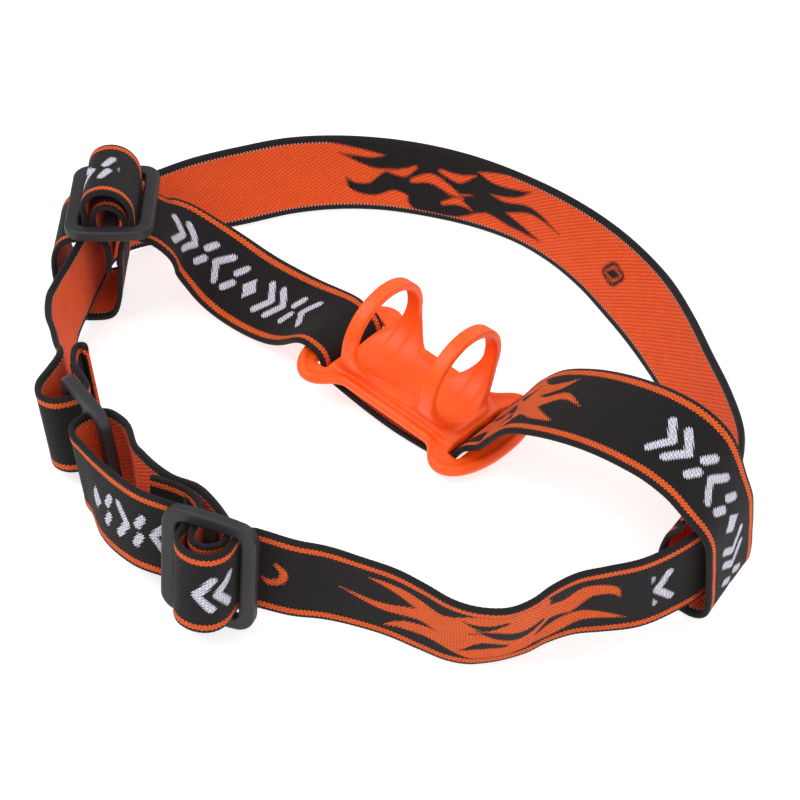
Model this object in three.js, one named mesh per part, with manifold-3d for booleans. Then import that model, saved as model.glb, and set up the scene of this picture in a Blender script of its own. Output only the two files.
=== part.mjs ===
// Headband harness with a silicone torch holder, as a three.js scene graph.
// Millimetres, +Z up. The drawing frame has its origin on the floor, under the middle of the harness.
// +X runs along the crown strap and the torch axis, from the crown slider to the sewn crown loop.
// Everything that is woven is 25 mm elastic webbing, drawn along the route that it takes lying on a table.

import * as THREE from 'three';
import { mergeVertices } from 'three/addons/utils/BufferGeometryUtils.js';
import Module from 'manifold-3d';

const wasm = await Module();
wasm.setup();

// Driving dimensions
const WEB_WIDTH = 25;
const WEB_THICK = 1.6;
const JOINT_GAP = 0.3; // left between two stretches of one webbing, and between touching parts
const FINE_STEP = 1.6; // section spacing where the webbing wraps a bar
const WRAP_STEP = 2.6;
const LONG_STEP = 6; // section spacing on the open runs

const SLIDER_ALONG = 25; // outside size in the direction of the strap
const SLIDER_ACROSS = 33; // outside size in the direction of the bars
const SLIDER_THICK = 3.2;
const SLIDER_CORNER = 5;
const SLIDER_BAR = 4; // width of the two side bars
const SLIDER_END = 3; // width of the two end bars
const CENTRE_BAR = 3.6;
const CENTRE_BAR_THICK = 2.4;
const WINDOW_CORNER = 1;

const PLATE_THICK = 2.6;
const WAIST_HALF = 13.3; // half width of the saddle plate between the tabs
const TAB_HALF = 19.5; // half width of the slotted tabs
const TAB_REACH = 33; // from the middle of the plate to the tip of a tab
const SLOT_START = 22.1;
const SLOT_WIDTH = 3.7;
const SLOT_HALF = 13;
const RING_OFFSET = 13.9; // from the middle of the plate to the middle of a ring
const RING_INNER = 12.2;
const RING_OUTER = 14.6;
const RING_WIDTH = 4.4;
const TORCH_HEIGHT = 15.8; // torch axis above the underside of the plate
const SADDLE_HALF_LENGTH = 14;
const SADDLE_HALF_WIDTH = 11.6;
const SADDLE_HEIGHT = 8;
const SADDLE_RADIUS = 12.6;

// The drawing frame's origin sits here relative to the middle of the footprint
const FOOTPRINT_SHIFT = [-2, 10.9];

const material = (color, roughness) => new THREE.MeshStandardMaterial({ color, roughness, metalness: 0 });
const webbing = () => material(0x2b2728, 0.95);
const plastic = () => material(0x3a383c, 0.55);
const silicone = () => material(0xff5f1e, 0.45);
const thread = () => material(0x1d1b1c, 0.9);

// Local frames: `along` follows the strap, `across` follows the bars, `out` is the side that faces away

function frameAt(centre, along, lean) {
  const across = new THREE.Vector3(...lean).normalize();
  const forward = new THREE.Vector3(...along);
  forward.addScaledVector(across, -forward.dot(across)).normalize();
  const out = forward.clone().cross(across);
  return { centre: new THREE.Vector3(...centre), along: forward, across, out };
}

const bearing = (degrees) => {
  const angle = THREE.MathUtils.degToRad(degrees);
  return [Math.cos(angle), Math.sin(angle), 0];
};

const frontSlider = frameAt([32.8, -91.5, 17.2], bearing(27.3), [0.03, 0.07, 1]);
const joiningSlider = frameAt([-24.4, -84.7, 17.2], bearing(-9.8), [-0.06, -0.06, 1]);
const crownSlider = frameAt([-91, -28.4, 33.2], bearing(48), [-0.743, 0.669, 0]);
const crownNode = frameAt([108.4, 8, 0], [0, 0, 1], [-0.28, 0.96, 0]);
const holderFrame = frameAt([5.6, 0.5, 5.9], [0.983, 0.121, -0.139], [-0.122, 0.993, 0]);

// A station of a route is the middle of the webbing and the direction of its upper selvedge

function local(frame, rows) {
  return rows.map(([along, out, side = 0]) => ({
    at: frame.centre.clone().addScaledVector(frame.along, along).addScaledVector(frame.out, out)
      .addScaledVector(frame.across, side),
    across: frame.across,
  }));
}

function free(rows) {
  return rows.map(([x, y, z, ax, ay, az]) => ({
    at: new THREE.Vector3(x, y, z),
    across: new THREE.Vector3(ax, ay, az).normalize(),
  }));
}

// Main band, from its rolled and sewn end at the joining slider round to its free end in the front slider
const BAND = [
  { name: 'band_end_hem', step: FINE_STEP, stations: local(joiningSlider, [
    [-22.9, -10.7], [-24.1, -11.3], [-25.3, -10.4], [-25, -8.8], [-23.7, -7.8]]) },
  { name: 'band_fixed_end_loop', step: FINE_STEP, stations: local(joiningSlider, [
    [-22.1, -6.8], [-20.3, -6], [-17, -5], [-12.5, -4.8], [-8.4, -4.2], [-6.1, -1.8], [-6.1, 2.2],
    [-7.8, 5.8], [-11.8, 7.6], [-16.5, 6], [-20.4, 1.4], [-23.8, -3.1]]) },
  { name: 'band_left_side', step: LONG_STEP, stations: free([
    [-50.2, -74.2, 15.4, -0.08, -0.2, 0.97], [-54, -71.2, 15, -0.1, -0.26, 0.95],
    [-59.3, -68, 14.7, -0.15, -0.25, 0.95], [-65.8, -64.9, 13.9, -0.19, -0.25, 0.95],
    [-71.8, -61.3, 13.4, -0.18, -0.22, 0.96], [-77.1, -57.6, 12.9, -0.12, -0.16, 0.98],
    [-81.2, -53.6, 13.3, -0.03, -0.09, 1], [-84.6, -48.8, 14, 0, -0.05, 1],
    [-88.2, -43.4, 14.8, 0, -0.03, 1], [-91.8, -38.6, 15, 0, 0, 1], [-96.8, -32.3, 14.8, 0, 0, 1],
    [-102.9, -24.2, 14.7, 0, 0, 1], [-106.8, -15, 14, 0, 0, 1]]) },
  { name: 'band_back_left', step: LONG_STEP, stations: free([
    [-105.9, -3.7, 12.9, -0.02, 0.03, 1], [-102.7, 10, 12.8, -0.16, 0.07, 0.98],
    [-97.9, 23.9, 12.7, -0.22, 0.1, 0.97], [-92.5, 37, 12.9, -0.18, 0.1, 0.98]]) },
  { name: 'band_back', step: LONG_STEP, stations: free([
    [-84.8, 48.6, 12.9, -0.1, 0.08, 0.99], [-74.5, 58.6, 13, -0.05, 0.06, 1], [-62.2, 66.8, 13, -0.03, 0.06, 1],
    [-48.3, 73.2, 13, 0, 0.03, 1], [-33.4, 77.1, 13, 0.02, 0.01, 1], [-17.7, 78.3, 12.9, 0.04, 0.08, 0.99],
    [-2, 77.1, 12.7, 0.07, 0.2, 0.97]]) },
  { name: 'band_right', step: LONG_STEP, stations: free([
    [13.9, 73.7, 12.4, 0.11, 0.33, 0.94], [29.9, 68.5, 12.2, 0.13, 0.36, 0.92], [45.7, 61, 12.4, 0.12, 0.31, 0.94],
    [61.4, 52.4, 12.9, 0.08, 0.22, 0.97], [78, 43.4, 13.6, 0.05, 0.1, 0.99], [91.5, 33.6, 14.6, 0.02, 0.04, 1],
    [100.6, 22.8, 15.6, 0, 0, 1], [105.6, 15.2, 15.9, 0, 0, 1], [108.4, 8, 15.9, 0, 0, 1]]) },
  { name: 'band_front', step: LONG_STEP, stations: free([
    [110.1, -0.6, 15.7, 0.02, -0.08, 1], [109.3, -8.6, 15, 0.04, -0.13, 0.99],
    [106.4, -17.4, 13.6, 0.05, -0.11, 0.99], [101.9, -25.2, 13.3, 0.09, -0.12, 0.98],
    [97.9, -31.6, 13, 0.14, -0.13, 0.98], [96, -38.6, 12.7, 0.19, -0.14, 0.97],
    [95.4, -44.8, 12.4, 0.23, -0.15, 0.96], [93.4, -50.8, 12.2, 0.26, -0.16, 0.95],
    [89.6, -56, 12.4, 0.2, -0.14, 0.96], [83.9, -59.6, 12.5, 0.16, -0.11, 0.98],
    [76.7, -61.9, 13.1, 0.13, -0.06, 0.99], [69, -64.4, 13.7, 0.12, -0.03, 1], [61.7, -68.2, 14.4, 0.12, -0.02, 1],
    [54.3, -72.8, 15.2, 0.08, 0.02, 1], [48.4, -77.9, 15.9, 0.05, 0.05, 1]]) },
  { name: 'band_slider_hump', step: WRAP_STEP, stations: local(frontSlider, [
    [12.4, -4.7], [8.9, -4.4], [6.8, -2.5], [6.5, 1.2], [6.4, 5], [4.3, 8.4], [0.3, 9.7], [-4, 8.4], [-6.4, 5],
    [-6.5, 1.2], [-6.8, -2.5], [-8.9, -4.5]]) },
  { name: 'band_adjuster_outer', step: LONG_STEP, stations: [
    ...local(frontSlider, [[-12.6, -4.9]]),
    ...free([[11.4, -96.2, 17.9, 0.02, 0.08, 1], [3.1, -97, 17.7, 0, 0.08, 1],
      [-5.1, -96.3, 17.3, -0.02, 0.06, 1]]),
    ...local(joiningSlider, [[12.4, 7.6]])] },
  { name: 'band_adjuster_turn', step: WRAP_STEP, stations: local(joiningSlider, [
    [8.2, 7.6], [4.8, 6.1], [3.3, 2.9], [3.3, -0.5], [4.9, -3.6], [8.6, -5], [13, -5.3]]) },
  { name: 'band_adjuster_inner', step: LONG_STEP, stations: [
    ...free([[-3, -85.4, 17, 0, 0.02, 1], [10.6, -86.4, 17.3, 0.02, 0.05, 1]]),
    ...local(frontSlider, [[-10, -13.6]])] },
  { name: 'band_free_end', step: WRAP_STEP, stations: local(frontSlider, [
    [-5.6, -11.3], [-0.4, -7.4], [3.3, -3.6], [4.4, 0.5], [3.8, 3.8], [0.9, 5.9], [-2.4, 5], [-4.2, 1.8],
    [-4.4, -1.8], [-5.1, -5.4], [-7.3, -8.8], [-10.6, -11], [-15.5, -12], [-21.5, -12]]) },
];

// Crown strap, from its free end in the crown slider's loop to its sewn end round the main band
const CROWN = [
  { name: 'crown_free_end', step: WRAP_STEP, stations: local(crownSlider, [
    [-1.4, -16], [-0.9, -11.5], [-1.2, -7.4], [-3.6, -3], [-4.4, 1.6], [-3.4, 4.8], [-0.5, 6.2], [2.6, 5],
    [4.4, 2], [4.4, -1.5], [3.7, -5]]) },
  { name: 'crown_left_loop', step: WRAP_STEP, stations: local(crownSlider, [
    [2.6, -9], [2.1, -14], [1.6, -20], [0.8, -26], [-1.4, -31.2], [-6.6, -32.3], [-11.6, -31.5], [-14.5, -27.4],
    [-16.2, -22], [-16.8, -15.5], [-16.2, -10], [-14, -6.3]]) },
  { name: 'crown_slider_hump', step: WRAP_STEP, stations: local(crownSlider, [
    [-11, -4.9], [-8.6, -4.6], [-6.7, -2.6], [-6.5, 2], [-6.8, 6.4], [-4.9, 9.8], [-0.8, 11.2], [3.4, 9.8],
    [6.1, 6], [6.5, 1.8], [6.7, -2.4], [8.7, -4.6]]) },
  { name: 'crown_left_run', step: LONG_STEP, stations: [
    ...local(crownSlider, [[11.6, -5.7], [14.8, -8]]),
    ...free([[-78.3, -12.4, 19.4, -0.46, 0.87, 0.14], [-74, -9, 14.4, -0.32, 0.9, 0.26],
      [-69.6, -6.6, 10.6, -0.14, 0.9, 0.4], [-62.9, -5.1, 8.2, -0.08, 0.86, 0.5],
      [-53.7, -4.3, 7.9, -0.09, 0.86, 0.5], [-44.2, -3.6, 8.8, -0.11, 0.9, 0.42]])] },
  { name: 'crown_left_bend', step: WRAP_STEP, stations: [
    ...free([[-39.5, -3.3, 9.8, -0.1, 0.93, 0.35], [-35, -3.1, 11.2, -0.1, 0.95, 0.26]]),
    ...local(holderFrame, [[-31.6, 4.6], [-28, 4.5], [-25.5, 3.9], [-24.1, 2.3], [-23.4, 0.5],
      [-22.9, -0.9], [-21.5, -1.8]])] },
  { name: 'crown_under_holder', step: LONG_STEP, stations: local(holderFrame, [
    [-18, -2.3], [-8, -3.4], [2, -3.8], [9, -3.4], [15, -2.75]]) },
  { name: 'crown_right_bend', step: WRAP_STEP, stations: local(holderFrame, [
    [19, -2.3], [21.4, -1.9], [22.9, -0.9], [23.6, 0.6], [24.2, 2.3], [25.2, 4.5]]) },
  { name: 'crown_right_run', step: LONG_STEP, stations: free([
    [34.8, 4.7, 10.6, -0.16, 0.97, 0.16], [41.1, 4.1, 18.8, -0.15, 0.97, 0.21],
    [48.7, 3.3, 26.9, -0.11, 0.97, 0.23], [58.6, 2.5, 33.2, -0.1, 0.96, 0.28],
    [69.1, 1.9, 38.1, -0.09, 0.95, 0.31], [79.5, 1.4, 41.7, -0.06, 0.94, 0.33], [89, 1.1, 43.8, -0.04, 0.94, 0.35]]) },
  { name: 'crown_fixed_end', step: LONG_STEP, stations: free([
    [97.3, 1.5, 43.8, -0.04, 0.95, 0.31], [103.6, 2.6, 41, -0.08, 0.97, 0.24],
    [107.5, 4, 36, -0.16, 0.97, 0.14]]) },
  { name: 'crown_right_loop', step: WRAP_STEP, stations: local(crownNode, [
    [30.6, -1.3, -3], [26, -2.8, -2.4], [20, -3.3, -1.6], [13, -3.5, -0.8], [6.5, -3.6, -0.2], [2.4, -2.9],
    [0.95, -0.6], [1, 1.6], [2.2, 5.2], [6, 8.2], [12.5, 9.8, -0.4], [19, 9.4, -1], [24.8, 7.6, -1.8],
    [29.3, 5, -2.6], [33.4, 4.2, -3.2]]) },
];

// Webbing

function sections(route, startIndex, endIndex, step) {
  const centres = new THREE.CatmullRomCurve3(route.map((s) => s.at), false, 'centripetal');
  const leans = new THREE.CatmullRomCurve3(route.map((s) => s.across), false, 'centripetal');
  const last = route.length - 1;
  const result = [];
  for (let i = startIndex; i < endIndex; i += 1) {
    const parts = Math.max(1, Math.ceil(route[i].at.distanceTo(route[i + 1].at) / step));
    for (let k = 0; k < parts; k += 1) result.push(sectionAt(centres, leans, (i + k / parts) / last));
  }
  result.push(sectionAt(centres, leans, endIndex / last));
  return result;
}

function sectionAt(centres, leans, t) {
  const centre = centres.getPoint(t);
  const along = centres.getTangent(t);
  const across = leans.getPoint(t);
  across.addScaledVector(along, -across.dot(along)).normalize();
  return { centre, along, across, out: along.clone().cross(across) };
}

function webbingSolid(rings) {
  const positions = [];
  for (const { centre, across, out } of rings) {
    for (const [side, face] of [[-1, -1], [1, -1], [1, 1], [-1, 1]]) {
      const corner = centre.clone().addScaledVector(across, (side * WEB_WIDTH) / 2);
      corner.addScaledVector(out, (face * WEB_THICK) / 2);
      positions.push(corner.x, corner.y, corner.z);
    }
  }
  const faces = [0, 2, 1, 0, 3, 2];
  for (let ring = 0; ring < rings.length - 1; ring += 1) {
    for (let side = 0; side < 4; side += 1) {
      const a = ring * 4 + side;
      const b = ring * 4 + ((side + 1) % 4);
      faces.push(a, b + 4, a + 4, a, b, b + 4);
    }
  }
  const end = (rings.length - 1) * 4;
  faces.push(end, end + 1, end + 2, end, end + 2, end + 3);
  const geometry = new THREE.BufferGeometry();
  geometry.setAttribute('position', new THREE.Float32BufferAttribute(positions, 3));
  geometry.setIndex(faces);
  geometry.computeVertexNormals();
  return geometry;
}

function webbingPieces(runs) {
  const route = runs.flatMap((run) => run.stations);
  const group = new THREE.Group();
  let start = 0;
  runs.forEach((run, index) => {
    const end = index < runs.length - 1 ? start + run.stations.length : route.length - 1;
    const rings = sections(route, start, end, run.step);
    const first = rings[0];
    const final = rings[rings.length - 1];
    if (index > 0) first.centre.addScaledVector(first.along, JOINT_GAP / 2);
    if (index < runs.length - 1) final.centre.addScaledVector(final.along, -JOINT_GAP / 2);
    group.add(named(run.name, webbingSolid(rings), webbing()));
    start = end;
  });
  return group;
}

function named(name, geometry, look) {
  const mesh = new THREE.Mesh(geometry, look);
  mesh.name = name;
  return mesh;
}

// A bar tack is a narrow raised row of thread on the webbing beside a sewn place
const TACK_LENGTH = 21;
const TACK_WIDTH = 1.8;
const TACK_HEIGHT = 0.5;
const TACK_GAP = 0.55;

function barTack(name, runs, runName, stationInRun, side) {
  const route = runs.flatMap((run) => run.stations);
  let index = stationInRun;
  for (const run of runs) {
    if (run.name === runName) break;
    index += run.stations.length;
  }
  const ring = sections(route, index, index + 1, LONG_STEP)[0];
  const mesh = named(name, new THREE.BoxGeometry(TACK_WIDTH, TACK_LENGTH, TACK_HEIGHT), thread());
  const lift = side * (WEB_THICK / 2 + TACK_GAP + TACK_HEIGHT / 2);
  const basis = new THREE.Matrix4().makeBasis(ring.along, ring.across, ring.out);
  mesh.quaternion.setFromRotationMatrix(basis);
  mesh.position.copy(ring.centre).addScaledVector(ring.out, lift);
  return mesh;
}

// Solids joined and cut with manifold

function solid(geometry) {
  const bare = geometry.clone();
  bare.deleteAttribute('normal');
  bare.deleteAttribute('uv');
  const merged = mergeVertices(bare, 1e-4);
  return new wasm.Manifold(new wasm.Mesh({
    numProp: 3,
    vertProperties: new Float32Array(merged.attributes.position.array),
    triVerts: new Uint32Array(merged.index.array),
  }));
}

function geometryOf(manifold) {
  const mesh = manifold.getMesh();
  const geometry = new THREE.BufferGeometry();
  geometry.setAttribute('position', new THREE.BufferAttribute(mesh.vertProperties, 3));
  geometry.setIndex(new THREE.BufferAttribute(mesh.triVerts, 1));
  geometry.computeVertexNormals();
  return geometry;
}

function slab(shape, bottom, top, curveSegments = 8) {
  const geometry = new THREE.ExtrudeGeometry(shape, { depth: top - bottom, bevelEnabled: false, curveSegments });
  return geometry.translate(0, 0, bottom);
}

function roundedRectangle(halfX, halfY, radius) {
  const shape = new THREE.Shape();
  shape.moveTo(-halfX + radius, -halfY);
  shape.lineTo(halfX - radius, -halfY);
  shape.quadraticCurveTo(halfX, -halfY, halfX, -halfY + radius);
  shape.lineTo(halfX, halfY - radius);
  shape.quadraticCurveTo(halfX, halfY, halfX - radius, halfY);
  shape.lineTo(-halfX + radius, halfY);
  shape.quadraticCurveTo(-halfX, halfY, -halfX, halfY - radius);
  shape.lineTo(-halfX, -halfY + radius);
  shape.quadraticCurveTo(-halfX, -halfY, -halfX + radius, -halfY);
  return shape;
}

// Tri-glide slider: a rounded frame round one window, with a centre bar set towards the inside

function sliderGeometry() {
  const halfX = SLIDER_ALONG / 2;
  const halfY = SLIDER_ACROSS / 2;
  const outline = roundedRectangle(halfX, halfY, SLIDER_CORNER);
  outline.holes.push(roundedRectangle(halfX - SLIDER_BAR, halfY - SLIDER_END, WINDOW_CORNER));
  const frame = solid(slab(outline, -SLIDER_THICK / 2, SLIDER_THICK / 2));
  const barHalf = halfY - SLIDER_END / 2;
  const barOutline = roundedRectangle(CENTRE_BAR / 2, barHalf, 0.6);
  const bar = solid(slab(barOutline, -SLIDER_THICK / 2, -SLIDER_THICK / 2 + CENTRE_BAR_THICK, 2));
  return geometryOf(frame.add(bar));
}

function slider(name, frame, tilt = 0) {
  const mesh = named(name, sliderGeometry(), plastic());
  mesh.position.copy(frame.centre);
  mesh.quaternion.setFromRotationMatrix(new THREE.Matrix4().makeBasis(frame.along, frame.across, frame.out));
  mesh.rotateX(THREE.MathUtils.degToRad(tilt));
  return mesh;
}

// Torch holder: a saddle plate with a slotted tab at each end and two rings, moulded in one piece

function plateOutline() {
  const shape = new THREE.Shape();
  const waistEnd = 14;
  const shoulder = 22.5;
  shape.moveTo(-waistEnd, -WAIST_HALF);
  shape.lineTo(waistEnd, -WAIST_HALF);
  shape.bezierCurveTo(18, -WAIST_HALF, 18.5, -TAB_HALF, shoulder + 1.5, -TAB_HALF);
  shape.bezierCurveTo(28, -TAB_HALF, TAB_REACH, -14, TAB_REACH, 0);
  shape.bezierCurveTo(TAB_REACH, 14, 28, TAB_HALF, shoulder + 1.5, TAB_HALF);
  shape.bezierCurveTo(18.5, TAB_HALF, 18, WAIST_HALF, waistEnd, WAIST_HALF);
  shape.lineTo(-waistEnd, WAIST_HALF);
  shape.bezierCurveTo(-18, WAIST_HALF, -18.5, TAB_HALF, -shoulder - 1.5, TAB_HALF);
  shape.bezierCurveTo(-28, TAB_HALF, -TAB_REACH, 14, -TAB_REACH, 0);
  shape.bezierCurveTo(-TAB_REACH, -14, -28, -TAB_HALF, -shoulder - 1.5, -TAB_HALF);
  shape.bezierCurveTo(-18.5, -TAB_HALF, -18, -WAIST_HALF, -waistEnd, -WAIST_HALF);
  return shape;
}

function slotCutter(side) {
  const cutter = new THREE.BoxGeometry(SLOT_WIDTH, 2 * SLOT_HALF, 4 * PLATE_THICK);
  return solid(cutter.translate(side * (SLOT_START + SLOT_WIDTH / 2), 0, 0));
}

function torchCylinder(radius, length, segments) {
  const geometry = new THREE.CylinderGeometry(radius, radius, length, segments);
  return geometry.rotateZ(Math.PI / 2).translate(0, 0, TORCH_HEIGHT);
}

function ringGeometry(offset) {
  const profile = [
    new THREE.Vector2(RING_INNER, -RING_WIDTH / 2),
    new THREE.Vector2(RING_OUTER, -RING_WIDTH / 2),
    new THREE.Vector2(RING_OUTER, RING_WIDTH / 2),
    new THREE.Vector2(RING_INNER, RING_WIDTH / 2),
    new THREE.Vector2(RING_INNER, -RING_WIDTH / 2),
  ];
  const ring = new THREE.LatheGeometry(profile, 40);
  return ring.rotateZ(Math.PI / 2).translate(offset, 0, TORCH_HEIGHT);
}

function torchHolder() {
  const saddleShape = roundedRectangle(SADDLE_HALF_LENGTH, SADDLE_HALF_WIDTH, 2);
  const saddle = solid(slab(saddleShape, 0, SADDLE_HEIGHT, 3));
  const trough = solid(torchCylinder(SADDLE_RADIUS, 4 * SADDLE_HALF_LENGTH, 40));
  const body = solid(slab(plateOutline(), 0, PLATE_THICK, 10))
    .subtract(slotCutter(-1))
    .subtract(slotCutter(1))
    .add(saddle.subtract(trough))
    .add(solid(ringGeometry(-RING_OFFSET)))
    .add(solid(ringGeometry(RING_OFFSET)));
  const mesh = named('torch_holder', geometryOf(body), silicone());
  const { along, across, out, centre } = holderFrame;
  mesh.quaternion.setFromRotationMatrix(new THREE.Matrix4().makeBasis(along, across, out));
  mesh.position.copy(centre);
  return mesh;
}

const CROWN_SLIDER_TILT = 2.5;

const headlamp = new THREE.Group();
headlamp.add(webbingPieces(BAND));
headlamp.add(webbingPieces(CROWN));
headlamp.add(slider('front_slider', frontSlider));
headlamp.add(slider('joining_slider', joiningSlider));
headlamp.add(slider('crown_slider', crownSlider, CROWN_SLIDER_TILT));
headlamp.add(torchHolder());
headlamp.add(barTack('band_end_bar_tack', BAND, 'band_fixed_end_loop', 1, 1));
headlamp.add(barTack('band_free_end_bar_tack', BAND, 'band_free_end', 11, -1));
headlamp.add(barTack('crown_free_end_bar_tack', CROWN, 'crown_left_loop', 1, -1));
headlamp.add(barTack('crown_end_bar_tack', CROWN, 'crown_right_loop', 13, 1));
headlamp.position.set(...FOOTPRINT_SHIFT, 0);

export default headlamp;
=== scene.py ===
"""Head harness with a silicone torch holder: woven straps, tri-glide sliders and the holder.

Shapes are worked out in mm in the drawing frame of the routes, and each mesh is stored in metres in the
part's own frame.
"""

import math

import bpy
import numpy as np
import openvdb
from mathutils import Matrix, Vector


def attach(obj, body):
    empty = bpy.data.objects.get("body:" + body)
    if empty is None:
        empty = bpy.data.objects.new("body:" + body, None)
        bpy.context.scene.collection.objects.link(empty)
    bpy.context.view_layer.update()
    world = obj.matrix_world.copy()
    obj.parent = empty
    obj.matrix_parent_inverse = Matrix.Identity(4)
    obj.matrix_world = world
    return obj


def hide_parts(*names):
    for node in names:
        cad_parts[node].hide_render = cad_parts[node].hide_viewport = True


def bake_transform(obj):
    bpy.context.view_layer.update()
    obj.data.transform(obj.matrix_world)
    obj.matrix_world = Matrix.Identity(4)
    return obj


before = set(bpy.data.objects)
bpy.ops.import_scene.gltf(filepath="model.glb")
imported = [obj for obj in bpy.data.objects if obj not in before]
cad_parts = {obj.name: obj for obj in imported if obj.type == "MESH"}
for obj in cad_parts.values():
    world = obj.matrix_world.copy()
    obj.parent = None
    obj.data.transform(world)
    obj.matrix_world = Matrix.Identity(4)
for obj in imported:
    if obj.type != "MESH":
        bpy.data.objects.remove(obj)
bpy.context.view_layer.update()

MM = 0.001
FOOTPRINT_SHIFT = np.array([-2.0, 10.9, 0.0])  # from the drawing frame to the part's frame, mm

WEB_WIDTH = 25.0
WEB_THICK = 1.6
WEB_STEP = 0.6  # spacing of the sections along the webbing, mm
WEB_COLUMNS = 30  # sections of the mesh across the webbing
SELVEDGE_ROWS = 5  # points round each selvedge
SELVEDGE_RIB = 1.25  # pitch of the weft loops along a selvedge, mm
SELVEDGE_WIDTH = 1.8  # the ripple of the weft loops fades out over this width, mm
RIPPLE = 0.03  # swelling at each weft loop, as a part of the thickness
BODY_DIP = 0.09  # the body is this much lower than the selvedges on each face, mm
DIP_MARGIN = 1.4  # width of the full-thickness strip beside the selvedge, mm
DIP_FADE = 0.8


# ---------------------------------------------------------------- local frames and routes

ROUTE_SAMPLE = 0.3  # spacing of the fine samples that lengths are measured on, mm
CENTRE_SOFTENING = 1.1  # width of the smoothing of the middle line, in sections
LEAN_SOFTENING = 5.0  # width of the smoothing of the direction across, in sections
SHORTEST_CHORD = 1e-4


def unit(v):
    v = np.asarray(v, float)
    return v / np.linalg.norm(v)


class LocalFrame:
    """along follows the strap, across follows the bars, out is the side that faces away."""

    def __init__(self, centre, along, lean):
        self.centre = np.array(centre, float)
        self.across = unit(lean)
        along = np.array(along, float)
        self.along = unit(along - along.dot(self.across) * self.across)
        self.out = np.cross(self.along, self.across)

    def point(self, along, out, side=0.0):
        return self.centre + along * self.along + out * self.out + side * self.across


def bearing(degrees):
    angle = math.radians(degrees)
    return (math.cos(angle), math.sin(angle), 0.0)


FRONT_SLIDER = LocalFrame((32.8, -91.5, 17.2), bearing(27.3), (0.03, 0.07, 1))
JOINING_SLIDER = LocalFrame((-24.4, -84.7, 17.2), bearing(-9.8), (-0.06, -0.06, 1))
CROWN_SLIDER = LocalFrame((-91, -28.4, 33.2), bearing(48), (-0.743, 0.669, 0))
CROWN_NODE = LocalFrame((108.4, 8, 0), (0, 0, 1), (-0.28, 0.96, 0))
HOLDER = LocalFrame((5.6, 0.5, 5.9), (0.983, 0.121, -0.139), (-0.122, 0.993, 0))
CROWN_SLIDER_TILT = 2.5


def local(place, rows):
    """Stations given in a local frame, with its bars' direction across the webbing."""
    return [(place.point(*row), place.across) for row in rows]


def free(rows):
    """Stations given as a point and the direction across the webbing."""
    return [(np.array(row[:3], float), unit(row[3:])) for row in rows]


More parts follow.
